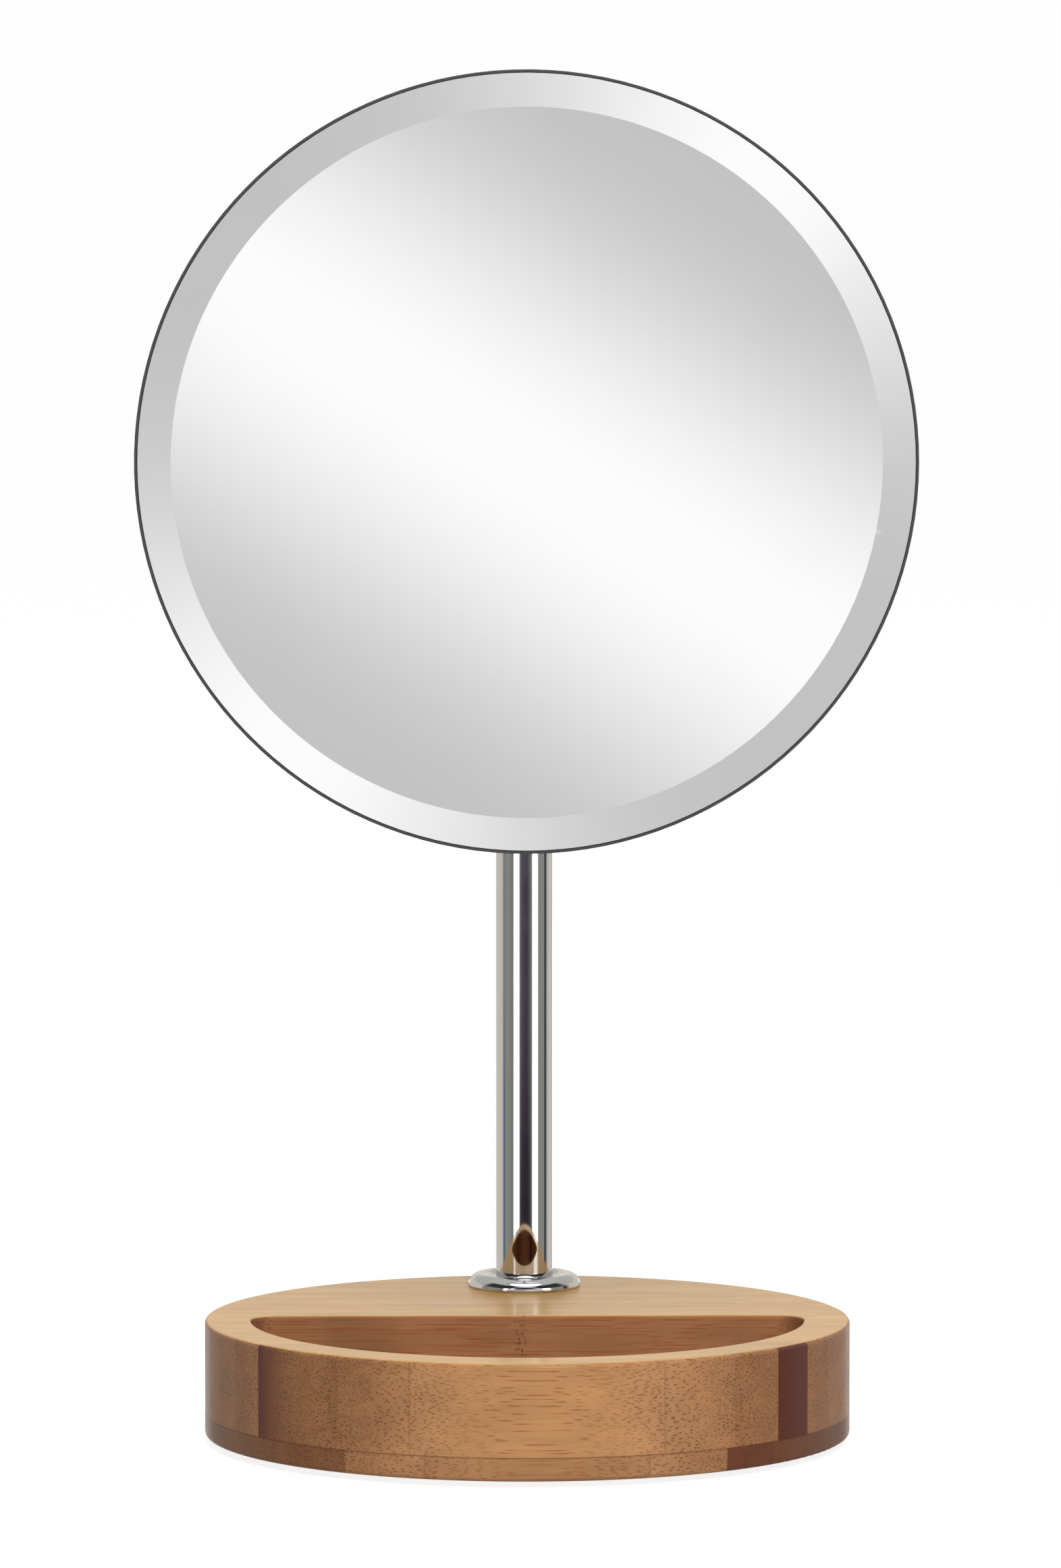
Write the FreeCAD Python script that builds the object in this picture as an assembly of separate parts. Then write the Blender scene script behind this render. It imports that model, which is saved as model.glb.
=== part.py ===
"""Round table shaving mirror, written for FreeCAD in millimetres.

A bevelled glass disc sits in a pressed back cover.  The cover carries a ball socket, and the ball's
stud screws into the top of a chromed tube.  The tube stands at the back of a round bamboo base whose
front half is cut out as a half-moon tray.

Frame: +Z up, -Y towards the user, X to the user's right.  The origin is on the table, on the axis of
the round base.
"""

import FreeCAD
import Part
import math
import os

V = FreeCAD.Vector
UP = V(0, 0, 1)
BACKWARDS = V(0, 1, 0)

# ---------------------------------------------------------------- driving dimensions
RUNNING_GAP = 0.05        # radial clearance of a turning or screwed fit

# base
BASE_R = 70.0
PLATE_T = 5.0             # bottom plate
BLOCK_T = 20.0            # upper block, which the tray is cut right through
RIM_ROUND = 0.8           # rounding of the block's and plate's outer edges
TRAY_R = 60.0             # tray arc, concentric with the base
TRAY_BACK_Y = 4.0         # flat back wall of the tray
TRAY_CORNER_R = 6.0
TRAY_EDGE_ROUND = 0.6
TRAY_FLOOR_DEPTH = 0.3    # the tray's cut goes this far into the bottom plate
FOOT_R = 6.0
FOOT_H = 1.5
FOOT_RING_R = 55.0        # the feet stand on this circle
FOOT_COUNT = 4

# post
POST_Y = 51.0
TUBE_R = 6.35
TUBE_WALL = 1.0
TUBE_SEAT_DEPTH = 4.0     # the tube's foot stands in a pocket of the block
COLLAR_R = 12.5
COLLAR_H = 3.1

# bolt from below
BOLT_R = 3.0
BOLT_HEAD_R = 5.25
BOLT_HEAD_H = 3.3
BOLT_KEY_AF = 4.0
BOLT_L = 30.0
COUNTERBORE_R = 8.0
COUNTERBORE_DEPTH = 7.0
WASHER_R = 7.0
WASHER_T = 1.2
SPRING_WASHER_R = 5.9
SPRING_WASHER_T = 1.5
INSERT_L = 14.0

# mirror head, measured along Y from the glass's front face
GLASS_FRONT_Y = 5.5
MIRROR_CENTRE_ABOVE_BASE = 185.5
HEAD_R = 85.0
GASKET_T = 0.6
GLASS_T = 4.0
BEVEL_W = 7.4
BEVEL_DEPTH = 2.3
ARRIS = 0.15              # ground-off corner at the bevel's outer edge
TAPE_T = 0.6
SHEET_T = 0.8
COVER_DEPTH = 9.0         # glass front to the flat middle of the back cover
LEDGE_R = 66.0            # the cover's ledge behind the glass runs from here to its rim
COVER_FLAT_R = 34.0
STIFFENER_R = 24.0
STIFFENER_T = 1.5

# ball joint, measured from the ball's centre
BALL_R = 6.0
NECK_R = 2.4
STUD_R = 3.0
HEX_AF = 10.0
HEX_T = 3.5
CUP_T = 0.95
CUP_OPENING_DEG = 18.0    # hole at the front of the friction cup
CUP_RIM_DEG = 70.0
PAD_R = 7.55
SOCKET_BACK = 10.5        # ball centre to the face that bears on the back cover
SOCKET_FLOOR_T = 1.2
SOCKET_THREAD_R = 9.6
FLANGE_R = 19.0
FLANGE_T = 1.6
SCREW_COUNT = 4
SCREW_RING_R = 14.5
SCREW_R = 1.5
SCREW_HEAD_R = 2.8
SCREW_HEAD_H = 1.8
CAP_RING_R = 12.0

# ---------------------------------------------------------------- places worked out from them
BASE_BOTTOM = FOOT_H
PLATE_TOP = BASE_BOTTOM + PLATE_T
BASE_TOP = PLATE_TOP + BLOCK_T
BOLT_SEAT = BASE_BOTTOM + COUNTERBORE_DEPTH
TUBE_FOOT = BASE_TOP - TUBE_SEAT_DEPTH
TUBE_BORE_R = TUBE_R - TUBE_WALL
MIRROR_Z = BASE_TOP + MIRROR_CENTRE_ABOVE_BASE
TUBE_TOP = MIRROR_Z + 14.0
BALL_Y = GLASS_FRONT_Y + COVER_DEPTH + SOCKET_BACK
GLASS_R = HEAD_R - GASKET_T
GLASS_BACK = GLASS_T
LEDGE_FRONT = GLASS_T + TAPE_T
LEDGE_BACK = LEDGE_FRONT + SHEET_T


# ---------------------------------------------------------------- helpers
def polar(radius, degrees):
    """Point of an XZ profile at this angle from +Z: (distance from the axis, height)."""
    turn = math.radians(degrees)
    return radius * math.sin(turn), radius * math.cos(turn)


def turned(*segments):
    """Solid of revolution about Z.  Each segment is a list of (radius, height) points:
    two points are a line, three are an arc through the middle one.  A gap is closed by a line."""
    edges = []
    last = None
    for segment in segments:
        points = [V(r, 0, z) for r, z in segment]
        if last is not None and last.distanceToPoint(points[0]) > 1e-7:
            edges.append(Part.makeLine(last, points[0]))
        if len(points) == 3:
            edges.append(Part.Arc(*points).toShape())
        else:
            edges.append(Part.makeLine(points[0], points[1]))
        last = points[-1]
    first = edges[0].Vertexes[0].Point
    if last.distanceToPoint(first) > 1e-7:
        edges.append(Part.makeLine(last, first))
    face = Part.Face(Part.Wire(edges))
    return face.revolve(V(0, 0, 0), UP, 360)


def dome_arc(edge_r, edge_z, top_z, flat_r):
    """Arc of a spherical dome, from its edge to the small flat on its top."""
    height = top_z - edge_z
    sphere_r = (edge_r ** 2 + height ** 2) / (2 * height)

    def at(turn):
        return sphere_r * math.sin(turn), top_z - sphere_r * (1 - math.cos(turn))

    start, end = math.asin(edge_r / sphere_r), math.asin(flat_r / sphere_r)
    return [at(start), at((start + end) / 2), at(end)]


def ring_profile(*points):
    """Solid of revolution about Z from straight lines only."""
    return turned(*[[a, b] for a, b in zip(points, points[1:])])


def cylinder(radius, z0, z1, x=0.0, y=0.0):
    return Part.makeCylinder(radius, z1 - z0, V(x, y, z0), UP)


def tube(outer, inner, z0, z1):
    return cylinder(outer, z0, z1).cut(cylinder(inner, z0 - 1, z1 + 1))


def hexagon(across_flats, z0, z1):
    radius = across_flats / math.sqrt(3)
    corners = [V(radius * math.cos(math.radians(a)), radius * math.sin(math.radians(a)), z0)
               for a in range(0, 361, 60)]
    return Part.Face(Part.makePolygon(corners)).extrude(V(0, 0, z1 - z0))


def circle_points(count, radius, start_deg):
    """(x, y) of evenly spaced points on a circle."""
    step = 360.0 / count
    return [(radius * math.cos(math.radians(start_deg + i * step)),
             radius * math.sin(math.radians(start_deg + i * step))) for i in range(count)]


def moved(shape, x=0.0, y=0.0, z=0.0):
    copy = shape.copy()
    copy.translate(V(x, y, z))
    return copy


def facing_back(shape, y, z=MIRROR_Z):
    """Turns a solid made along +Z so that it points along +Y, with its origin at (0, y, z)."""
    copy = shape.copy()
    copy.rotate(V(0, 0, 0), V(1, 0, 0), -90)
    copy.translate(V(0, y, z))
    return copy


def round_edges(shape, radius, wanted):
    """Fillets the edges for which wanted(edge) is true."""
    return shape.makeFillet(radius, [e for e in shape.Edges if wanted(e)])


def lies_at(edge, z):
    box = edge.BoundBox
    return abs(box.ZMin - z) < 1e-4 and abs(box.ZMax - z) < 1e-4


# ---------------------------------------------------------------- base
def tray_outline(z):
    """Half-moon: an arc concentric with the base, a straight back, and round corners between them."""
    corner_y = TRAY_BACK_Y - TRAY_CORNER_R
    corner_x = math.sqrt((TRAY_R - TRAY_CORNER_R) ** 2 - corner_y ** 2)
    reach = TRAY_R / (TRAY_R - TRAY_CORNER_R)
    on_arc = V(corner_x * reach, corner_y * reach, z)
    on_back = V(corner_x, TRAY_BACK_Y, z)
    # middle of the corner arc, half way in angle between its two ends
    angle = (math.atan2(corner_y, corner_x) + math.pi / 2) / 2
    corner_mid = V(corner_x + TRAY_CORNER_R * math.cos(angle),
                   corner_y + TRAY_CORNER_R * math.sin(angle), z)

    def mirrored(p):
        return V(-p.x, p.y, p.z)

    edges = [
        Part.Arc(mirrored(on_arc), V(0, -TRAY_R, z), on_arc).toShape(),
        Part.Arc(on_arc, corner_mid, on_back).toShape(),
        Part.makeLine(on_back, mirrored(on_back)),
        Part.Arc(mirrored(on_back), mirrored(corner_mid), mirrored(on_arc)).toShape(),
    ]
    return Part.Face(Part.Wire(edges))


def base_block():
    block = cylinder(BASE_R, PLATE_TOP, BASE_TOP)
    block = round_edges(block, RIM_ROUND, lambda e: lies_at(e, BASE_TOP))
    block = block.cut(tray_outline(PLATE_TOP).extrude(V(0, 0, BLOCK_T)))

    def on_tray_mouth(edge):
        widest = max(math.hypot(v.X, v.Y) for v in edge.Vertexes)
        return lies_at(edge, BASE_TOP) and widest < TRAY_R + 0.01

    block = round_edges(block, TRAY_EDGE_ROUND, on_tray_mouth)
    holes = [
        cylinder(COUNTERBORE_R, PLATE_TOP - 1, BOLT_SEAT, y=POST_Y),
        cylinder(BOLT_R + 0.3, PLATE_TOP - 1, BASE_TOP + 1, y=POST_Y),
        cylinder(TUBE_R + RUNNING_GAP, TUBE_FOOT, BASE_TOP + 1, y=POST_Y),
    ]
    for hole in holes:
        block = block.cut(hole)
    return block


def base_plate():
    plate = cylinder(BASE_R, BASE_BOTTOM, PLATE_TOP)
    plate = round_edges(plate, RIM_ROUND, lambda e: lies_at(e, BASE_BOTTOM))
    plate = plate.cut(tray_outline(PLATE_TOP - TRAY_FLOOR_DEPTH).extrude(V(0, 0, PLATE_T)))
    return plate.cut(cylinder(COUNTERBORE_R, BASE_BOTTOM - 1, PLATE_TOP + 1, y=POST_Y))


def foot(x, y):
    edge = 0.5
    pad = turned([(0, 0), (FOOT_R - edge, 0)],
                 [(FOOT_R - edge, 0), (FOOT_R - 0.15, 0.15), (FOOT_R, edge)],
                 [(FOOT_R, edge), (FOOT_R, FOOT_H)],
                 [(FOOT_R, FOOT_H), (0, FOOT_H)])
    return moved(pad, x, y)


# ---------------------------------------------------------------- post and its fastening
def base_bolt():
    """Button-head socket screw, head down."""
    head_top = BOLT_SEAT - WASHER_T - SPRING_WASHER_T
    head_bottom = head_top - BOLT_HEAD_H
    crown_r = 2.6
    head = turned([(0, head_bottom), (crown_r, head_bottom)],
                  [(crown_r, head_bottom), (4.6, head_bottom + 0.95), (BOLT_HEAD_R, head_top - 0.6)],
                  [(BOLT_HEAD_R, head_top - 0.6), (BOLT_HEAD_R, head_top)],
                  [(BOLT_HEAD_R, head_top), (0, head_top)])
    key = hexagon(BOLT_KEY_AF, head_bottom - 1, head_bottom + 2.0)
    chamfer = 0.6
    shank_top = head_top + BOLT_L
    shank = ring_profile((0, head_top), (BOLT_R, head_top), (BOLT_R, shank_top - chamfer),
                         (BOLT_R - chamfer, shank_top), (0, shank_top))
    return moved(head.cut(key).fuse(shank).removeSplitter(), y=POST_Y)


def flat_washer():
    return moved(tube(WASHER_R, BOLT_R + 0.2, BOLT_SEAT - WASHER_T, BOLT_SEAT), y=POST_Y)


def spring_washer():
    """Split lock washer, pressed flat."""
    top = BOLT_SEAT - WASHER_T
    washer = tube(SPRING_WASHER_R, BOLT_R + 0.2, top - SPRING_WASHER_T, top)
    split = Part.makeBox(6.0, 0.8, 10.0, V(BOLT_R - 0.5, -0.4, top - 6.0))
    split.rotate(V(0, 0, 0), UP, 35)
    return moved(washer.cut(split), y=POST_Y)


def post_collar():
    """Pressed cover ring: round outside, a crest, then dished towards the tube."""
    bore = TUBE_R + RUNNING_GAP
    crest_r = 9.7
    ring = turned([(bore, 0), (COLLAR_R - 0.25, 0)],
                  [(COLLAR_R - 0.25, 0), (COLLAR_R, 0.6)],
                  [(COLLAR_R, 0.6), (11.75, 2.25), (crest_r, COLLAR_H)],
                  [(crest_r, COLLAR_H), (8.2, 2.85), (7.1, 2.35)],
                  [(7.1, 2.35), (bore, 2.2)],
                  [(bore, 2.2), (bore, 0)])
    return moved(ring, y=POST_Y, z=BASE_TOP)


def post_tube():
    stem = tube(TUBE_R, TUBE_BORE_R, TUBE_FOOT, TUBE_TOP)
    stem = moved(stem, y=POST_Y)
    stud_hole = Part.makeCylinder(STUD_R + 0.3, POST_Y, V(0, 0, MIRROR_Z), BACKWARDS)
    return stem.cut(stud_hole)


def foot_insert():
    """Tapped plug pressed into the tube's foot."""
    plug = tube(TUBE_BORE_R, BOLT_R + RUNNING_GAP, TUBE_FOOT, TUBE_FOOT + INSERT_L)
    return moved(plug, y=POST_Y)


def stud_anchor():
    """Cross-tapped plug inside the tube, which the ball stud screws into."""
    half = 8.0
    plug = cylinder(TUBE_BORE_R, MIRROR_Z - half, MIRROR_Z + half, y=POST_Y)
    tapped = Part.makeCylinder(STUD_R + RUNNING_GAP, POST_Y + 3.6, V(0, 0, MIRROR_Z), BACKWARDS)
    return plug.cut(tapped)


def post_cap():
    """Domed plug that closes the tube's top."""
    spigot = 5.5
    rounding = dome_arc(TUBE_R, 0.5, 2.4, flat_r=1.0)
    cap = turned([(0, -spigot), (TUBE_BORE_R - 0.4, -spigot)],
                 [(TUBE_BORE_R - 0.4, -spigot), (TUBE_BORE_R, -spigot + 0.4)],
                 [(TUBE_BORE_R, -spigot + 0.4), (TUBE_BORE_R, 0)],
                 [(TUBE_BORE_R, 0), (TUBE_R, 0)],
                 [(TUBE_R, 0), (TUBE_R, 0.5)],
                 rounding,
                 [rounding[-1], (0, rounding[-1][1])])
    return moved(cap, y=POST_Y, z=TUBE_TOP)


# ---------------------------------------------------------------- ball joint
HEX_START = POST_Y - TUBE_R - 4.15 - HEX_T - BALL_Y


def ball_stud():
    """Ball, neck, spanner flats and threaded shank in one turned piece."""
    front_flat = 1.2
    front_z = -math.sqrt(BALL_R ** 2 - front_flat ** 2)
    ball = turned([(0, front_z), (front_flat, front_z)],
                  [(front_flat, front_z), (BALL_R, 0), polar(BALL_R, 20)],
                  [polar(BALL_R, 20), (0, polar(BALL_R, 20)[1])])
    neck = cylinder(NECK_R, 0, HEX_START + 0.5)
    flats = hexagon(HEX_AF, HEX_START, HEX_START + HEX_T)
    corner_cut = ring_profile((0, HEX_START - 0.01), (4.9, HEX_START - 0.01), (5.8, HEX_START + 0.6),
                              (5.8, HEX_START + HEX_T - 0.6), (4.9, HEX_START + HEX_T + 0.01),
                              (0, HEX_START + HEX_T + 0.01))
    flats = flats.common(corner_cut)
    shank_end = POST_Y + 3.2 - BALL_Y
    shank = ring_profile((0, HEX_START), (STUD_R, HEX_START), (STUD_R, shank_end - 0.6),
                         (STUD_R - 0.6, shank_end), (0, shank_end))
    stud = ball.fuse([neck, flats, shank]).removeSplitter()
    return facing_back(stud, BALL_Y)


def saddle_washer():
    """Spacer between the stud's flats and the tube, hollowed to fit the tube's outside."""
    start = HEX_START + HEX_T
    end = POST_Y - BALL_Y
    spacer = facing_back(tube(5.2, STUD_R + 0.2, start, end), BALL_Y)
    return spacer.cut(cylinder(TUBE_R + RUNNING_GAP, MIRROR_Z - 20, MIRROR_Z + 20, y=POST_Y))


def friction_cup():
    """Floating nylon cup between the ball and the pressure pad."""
    inner = BALL_R + RUNNING_GAP
    outer = inner + CUP_T
    front, rim = 180 - CUP_OPENING_DEG, 180 - CUP_RIM_DEG
    middle = (front + rim) / 2
    cup = turned([polar(inner, front), polar(inner, middle), polar(inner, rim)],
                 [polar(inner, rim), polar(outer, rim)],
                 [polar(outer, rim), polar(outer, middle), polar(outer, front)])
    return facing_back(cup, BALL_Y)


PAD_FRONT = -8.3
PAD_REAR = -2.8


def pressure_pad():
    """Sliding seat that a spring presses on the friction cup."""
    pad = cylinder(PAD_R, PAD_FRONT, PAD_REAR)
    seat = Part.makeSphere(BALL_R + CUP_T + 2 * RUNNING_GAP)
    vent = cylinder(2.0, PAD_FRONT - 1, 0)
    return facing_back(pad.cut(seat).cut(vent), BALL_Y)


def disc_spring():
    """Conical spring washer behind the pressure pad."""
    floor = SOCKET_FLOOR_T - SOCKET_BACK
    thick = 0.5
    cone = ring_profile((3.2, PAD_FRONT - thick), (3.2, PAD_FRONT), (3.6, PAD_FRONT),
                        (7.2, floor + thick), (7.2, floor), (6.8, floor))
    return facing_back(cone, BALL_Y)


def screw_holes(radius, z0, z1):
    places = circle_points(SCREW_COUNT, SCREW_RING_R, 45)
    return [cylinder(radius, z0, z1, x, y) for x, y in places]


def drill(shape, holes):
    for hole in holes:
        shape = shape.cut(hole)
    return shape


def socket_body():
    """Flanged housing.  Its bore guides the pad, and the cap ring screws on its outside."""
    bore = PAD_R + RUNNING_GAP
    flange_top = FLANGE_T - SOCKET_BACK
    shoulder_r = 11.4
    shoulder_top = -5.0
    mouth = 1.0
    body = ring_profile((0, -SOCKET_BACK), (FLANGE_R, -SOCKET_BACK), (FLANGE_R, flange_top - 0.4),
                        (FLANGE_R - 0.4, flange_top), (shoulder_r, flange_top),
                        (shoulder_r, shoulder_top), (SOCKET_THREAD_R, shoulder_top),
                        (SOCKET_THREAD_R, mouth), (bore, mouth),
                        (bore, SOCKET_FLOOR_T - SOCKET_BACK), (0, SOCKET_FLOOR_T - SOCKET_BACK))
    body = drill(body, screw_holes(SCREW_R + 0.1, -SOCKET_BACK - 1, flange_top + 1))
    return facing_back(body, BALL_Y)


SEAT_FRONT = 1.05
SEAT_REAR = 3.4


def rear_seat():
    """Nylon ring that the cap ring holds against the back of the ball."""
    inner = BALL_R + RUNNING_GAP
    lip_z = 3.1
    lip_r = math.sqrt(inner ** 2 - lip_z ** 2)
    front_r = math.sqrt(inner ** 2 - SEAT_FRONT ** 2)
    middle = polar(inner, 70.0)
    seat = turned([(front_r, SEAT_FRONT), middle, (lip_r, lip_z)],
                  [(lip_r, lip_z), (lip_r + 0.2, SEAT_REAR)],
                  [(lip_r + 0.2, SEAT_REAR), (9.5, SEAT_REAR)],
                  [(9.5, SEAT_REAR), (9.5, SEAT_FRONT)])
    return facing_back(seat, BALL_Y)


def cap_ring():
    """Knurled ring nut.  Its opening is wide enough for the neck at full tilt and swivel."""
    inner = SOCKET_THREAD_R + RUNNING_GAP
    skirt = -4.8
    rear = 4.8
    ring = turned([(inner, skirt), (CAP_RING_R - 0.5, skirt)],
                  [(CAP_RING_R - 0.5, skirt), (CAP_RING_R, skirt + 0.5)],
                  [(CAP_RING_R, skirt + 0.5), (CAP_RING_R, rear - 1.8)],
                  [(CAP_RING_R, rear - 1.8), (CAP_RING_R - 0.53, rear - 0.53), (CAP_RING_R - 1.8, rear)],
                  [(CAP_RING_R - 1.8, rear), (6.8, rear)],
                  [(6.8, rear), (5.7, SEAT_REAR)],
                  [(5.7, SEAT_REAR), (inner, SEAT_REAR)],
                  [(inner, SEAT_REAR), (inner, skirt)])
    grooves = 30
    for x, y in circle_points(grooves, CAP_RING_R + 0.25, 0):
        ring = ring.cut(cylinder(0.6, skirt + 0.9, rear - 2.2, x, y))
    return facing_back(ring, BALL_Y)


def socket_screw(x, y):
    """Pan-head machine screw, with its head on the socket's flange and a cross recess."""
    seat = FLANGE_T - SOCKET_BACK
    top = seat + SCREW_HEAD_H
    head = turned([(0, seat), (SCREW_HEAD_R, seat)],
                  [(SCREW_HEAD_R, seat), (SCREW_HEAD_R, seat + 0.7)],
                  [(SCREW_HEAD_R, seat + 0.7), (2.3, top - 0.35), (1.2, top)],
                  [(1.2, top), (0, top)])
    shank = cylinder(SCREW_R, seat - 3.6, seat)
    screw = head.fuse(shank).removeSplitter()
    for turn in (0, 90):
        slot = Part.makeBox(2.6, 0.6, 1.2, V(-1.3, -0.3, top - 0.9))
        slot.rotate(V(0, 0, 0), UP, turn)
        screw = screw.cut(slot)
    return facing_back(moved(screw, x, y), BALL_Y)


# ---------------------------------------------------------------- mirror head
def mirror_glass():
    """Silvered glass disc with a wide bevel."""
    flat_r = GLASS_R - BEVEL_W
    glass = ring_profile((0, 0), (flat_r, 0), (GLASS_R - ARRIS, BEVEL_DEPTH),
                         (GLASS_R, BEVEL_DEPTH + ARRIS), (GLASS_R, GLASS_T), (0, GLASS_T))
    return facing_back(glass, GLASS_FRONT_Y)


def edge_gasket():
    """Dark L-section band round the glass's edge."""
    front = BEVEL_DEPTH + 0.05
    bore = GLASS_R + RUNNING_GAP
    behind = GLASS_R - 1.2
    band = ring_profile((bore, front), (HEAD_R - 0.15, front), (HEAD_R, front + 0.15),
                        (HEAD_R, LEDGE_FRONT), (behind, LEDGE_FRONT), (behind, GLASS_BACK),
                        (bore, GLASS_BACK))
    return facing_back(band, GLASS_FRONT_Y)


def adhesive_ring():
    """Foam tape between the glass and the cover's ledge."""
    return facing_back(tube(GLASS_R - 1.6, LEDGE_R + 1.0, GLASS_BACK, LEDGE_FRONT), GLASS_FRONT_Y)


def back_cover():
    """Pressed sheet-metal cover: rim, ledge behind the glass, soft step, shallow dome, flat middle."""
    inside = COVER_DEPTH - SHEET_T
    step = 2.2
    cover = turned([(HEAD_R - 0.4, LEDGE_FRONT), (LEDGE_R, LEDGE_FRONT)],
                   [(LEDGE_R, LEDGE_FRONT), (LEDGE_R - 4.0, LEDGE_FRONT + step)],
                   [(LEDGE_R - 4.0, LEDGE_FRONT + step), (49.0, inside - 0.25), (COVER_FLAT_R, inside)],
                   [(COVER_FLAT_R, inside), (0, inside)],
                   [(0, inside), (0, COVER_DEPTH)],
                   [(0, COVER_DEPTH), (COVER_FLAT_R, COVER_DEPTH)],
                   [(COVER_FLAT_R, COVER_DEPTH), (49.2, COVER_DEPTH - 0.25),
                    (LEDGE_R - 3.6, LEDGE_BACK + step - 0.1)],
                   [(LEDGE_R - 3.6, LEDGE_BACK + step - 0.1), (LEDGE_R + 0.5, LEDGE_BACK)],
                   [(LEDGE_R + 0.5, LEDGE_BACK), (HEAD_R - 0.8, LEDGE_BACK)],
                   [(HEAD_R - 0.8, LEDGE_BACK), (HEAD_R - 0.12, LEDGE_BACK - 0.23), (HEAD_R, LEDGE_BACK - 0.6)],
                   [(HEAD_R, LEDGE_BACK - 0.6), (HEAD_R, LEDGE_FRONT)],
                   [(HEAD_R, LEDGE_FRONT), (HEAD_R - 0.4, LEDGE_FRONT)])
    cover = drill(cover, screw_holes(SCREW_R + 0.1, inside - 1, COVER_DEPTH + 1))
    return facing_back(cover, GLASS_FRONT_Y)


def stiffener_plate():
    """Tapped steel disc inside the cover, which the socket's screws bite into."""
    inside = COVER_DEPTH - SHEET_T
    plate = cylinder(STIFFENER_R, inside - STIFFENER_T, inside)
    plate = drill(plate, screw_holes(SCREW_R + RUNNING_GAP, 0, inside + 1))
    return facing_back(plate, GLASS_FRONT_Y)


# ---------------------------------------------------------------- every node, by name
def all_nodes():
    nodes = {
        "base_block": base_block(),
        "base_plate": base_plate(),
        "base_bolt": base_bolt(),
        "flat_washer": flat_washer(),
        "spring_washer": spring_washer(),
        "post_collar": post_collar(),
        "post_tube": post_tube(),
        "foot_insert": foot_insert(),
        "stud_anchor": stud_anchor(),
        "post_cap": post_cap(),
        "ball_stud": ball_stud(),
        "saddle_washer": saddle_washer(),
        "friction_cup": friction_cup(),
        "pressure_pad": pressure_pad(),
        "disc_spring": disc_spring(),
        "socket_body": socket_body(),
        "rear_seat": rear_seat(),
        "cap_ring": cap_ring(),
        "mirror_glass": mirror_glass(),
        "edge_gasket": edge_gasket(),
        "adhesive_ring": adhesive_ring(),
        "back_cover": back_cover(),
        "stiffener_plate": stiffener_plate(),
    }
    for i, (x, y) in enumerate(circle_points(FOOT_COUNT, FOOT_RING_R, 45), start=1):
        nodes[f"foot_{i}"] = foot(x, y)
    for i, (x, y) in enumerate(circle_points(SCREW_COUNT, SCREW_RING_R, 45), start=1):
        nodes[f"socket_screw_{i}"] = socket_screw(x, y)
    return nodes


def main():
    os.makedirs("parts", exist_ok=True)
    for name, shape in all_nodes().items():
        if not shape.isValid() or not shape.Solids:
            raise RuntimeError(f"{name} is not a valid solid")
        shape.exportStep(os.path.join("parts", f"{name}.step"))
        print(f"{name}: {len(shape.Solids)} solid, {shape.Volume / 1000:.2f} cm3")


main()
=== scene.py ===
"""Looks of the round table shaving mirror: bamboo, chrome, bevelled mirror, studio light and camera."""

import math

import bpy
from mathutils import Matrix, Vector


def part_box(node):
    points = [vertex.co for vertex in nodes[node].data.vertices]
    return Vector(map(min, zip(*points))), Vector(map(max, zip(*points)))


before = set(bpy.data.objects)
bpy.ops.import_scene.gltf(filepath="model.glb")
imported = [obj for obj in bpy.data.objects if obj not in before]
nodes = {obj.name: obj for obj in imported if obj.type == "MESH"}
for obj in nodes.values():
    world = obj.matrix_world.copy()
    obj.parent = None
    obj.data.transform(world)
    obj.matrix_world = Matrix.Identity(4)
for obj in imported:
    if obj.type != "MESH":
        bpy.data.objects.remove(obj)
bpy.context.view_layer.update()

# ---------------------------------------------------------------- places, read from the frame
block_low, block_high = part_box("base_block")
plate_low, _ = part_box("base_plate")
tube_low, tube_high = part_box("post_tube")
glass_low, glass_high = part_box("mirror_glass")

WOOD_BOTTOM = plate_low.z
SEAM_Z = block_low.z
WOOD_TOP = block_high.z
POST_Y = (tube_low.y + tube_high.y) / 2
HEAD_CENTRE = (glass_low + glass_high) / 2
HEAD_R = (glass_high.x - glass_low.x) / 2

# ---------------------------------------------------------------- colours, linear
TOP_TAN = (0.605, 0.352, 0.124)
SIDE_TAN = (0.44, 0.222, 0.093)
END_TAN = (0.360, 0.168, 0.074)
BUNDLE_BROWN = (0.105, 0.036, 0.016)
STREAK_RED = (0.27, 0.070, 0.016)
STRIP_DARK = (0.085, 0.017, 0.011)


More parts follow.
